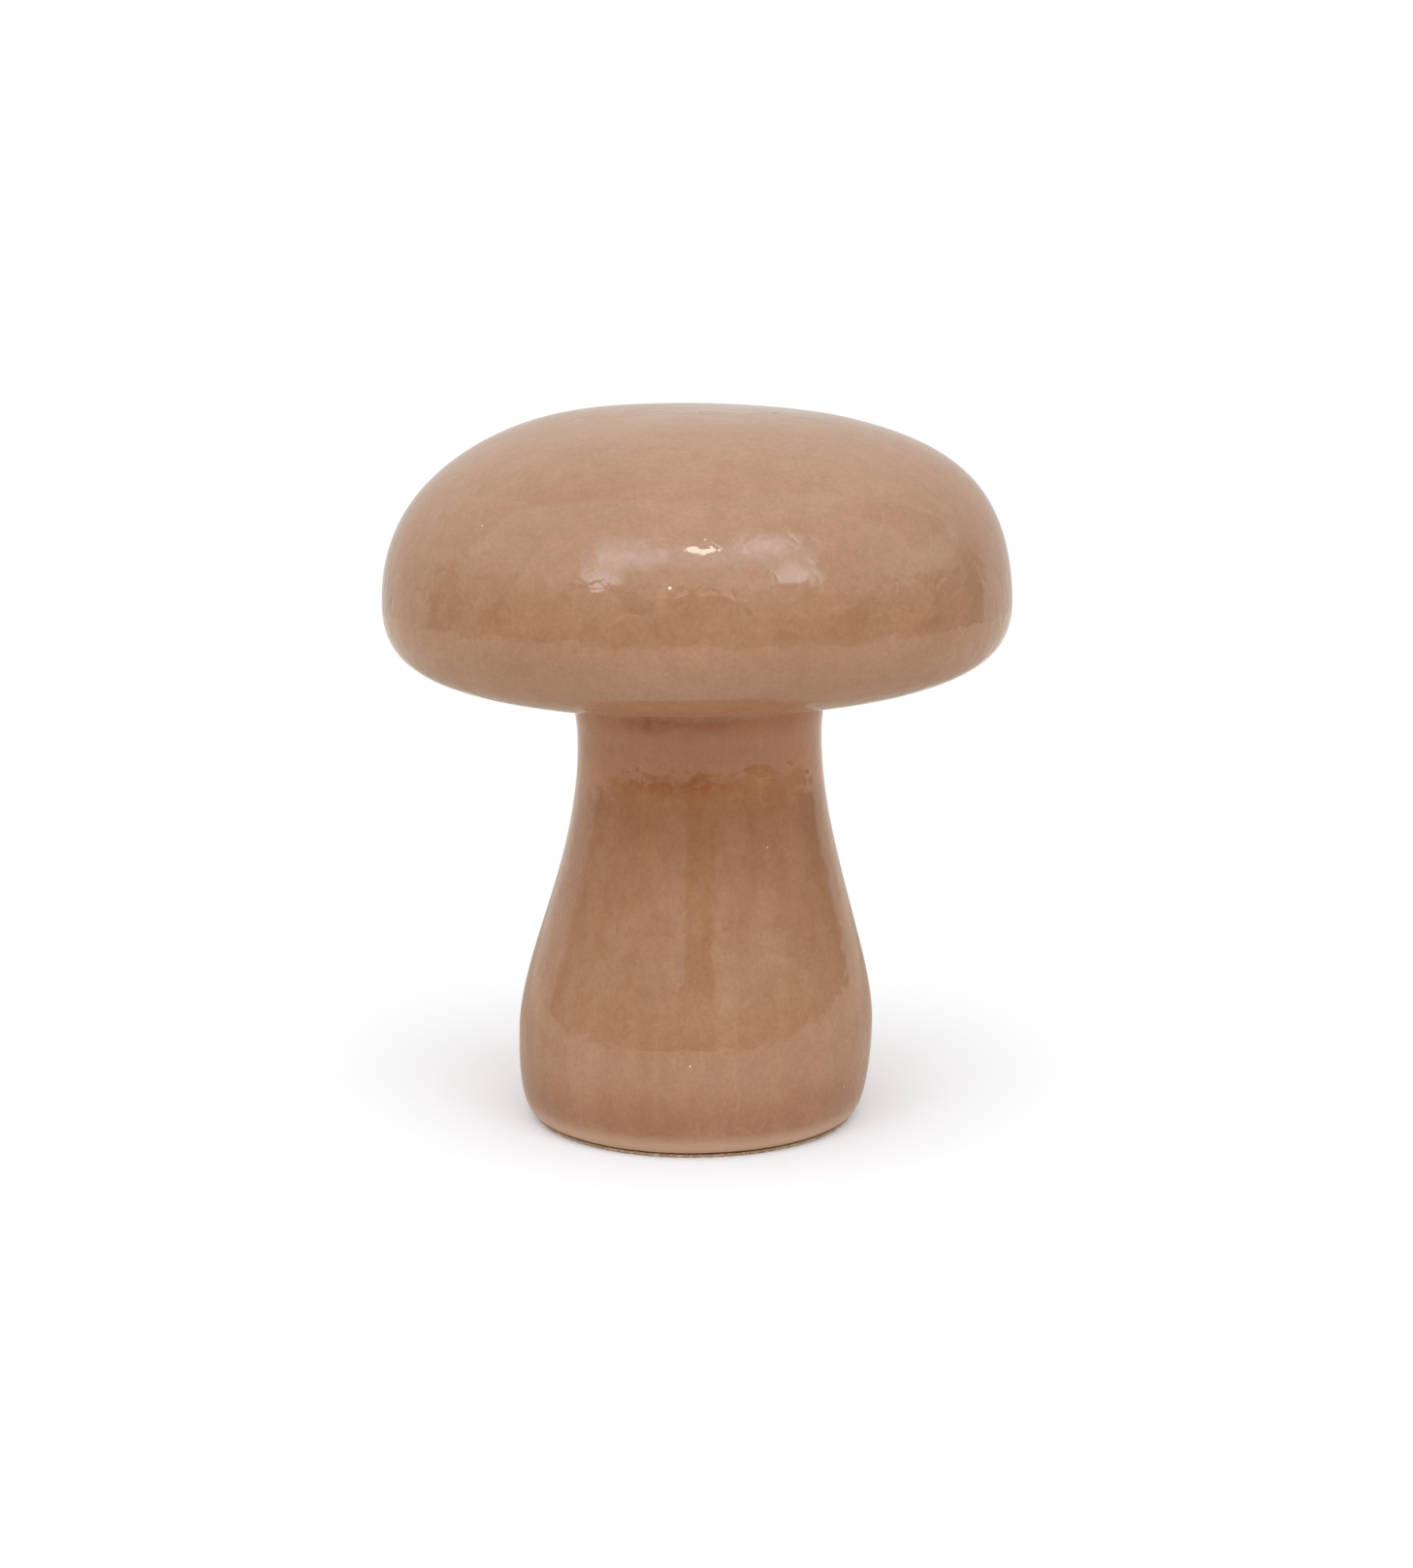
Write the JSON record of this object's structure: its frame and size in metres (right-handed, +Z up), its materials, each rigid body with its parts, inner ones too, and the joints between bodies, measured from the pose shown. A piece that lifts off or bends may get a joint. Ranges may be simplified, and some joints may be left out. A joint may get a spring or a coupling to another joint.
{
  "type": "ceramic mushroom ornament",
  "caption": "Hollow glazed ceramic mushroom ornament: a wide domed cap luted on a waisted stem with a swelling foot, standing on a thin cork pad.",
  "frame": {"origin": "centre of the flat underside of the pad, where the ornament rests on a shelf", "axes": "+Z up along the axis of the stem and cap, +X to the right of the picture, -Y towards the camera"},
  "size_m": [0.0868, 0.0868, 0.1],
  "materials": {
    "glaze": "gloss",
    "slip": "satin",
    "glue": "satin",
    "cork": "matte"
  },
  "bodies": {
    "root": {"cap_shell": "glaze", "stem_shell": "glaze", "slip_seam": "slip", "adhesive_film": "glue", "foot_pad": "cork"}
  },
  "joints": []
}
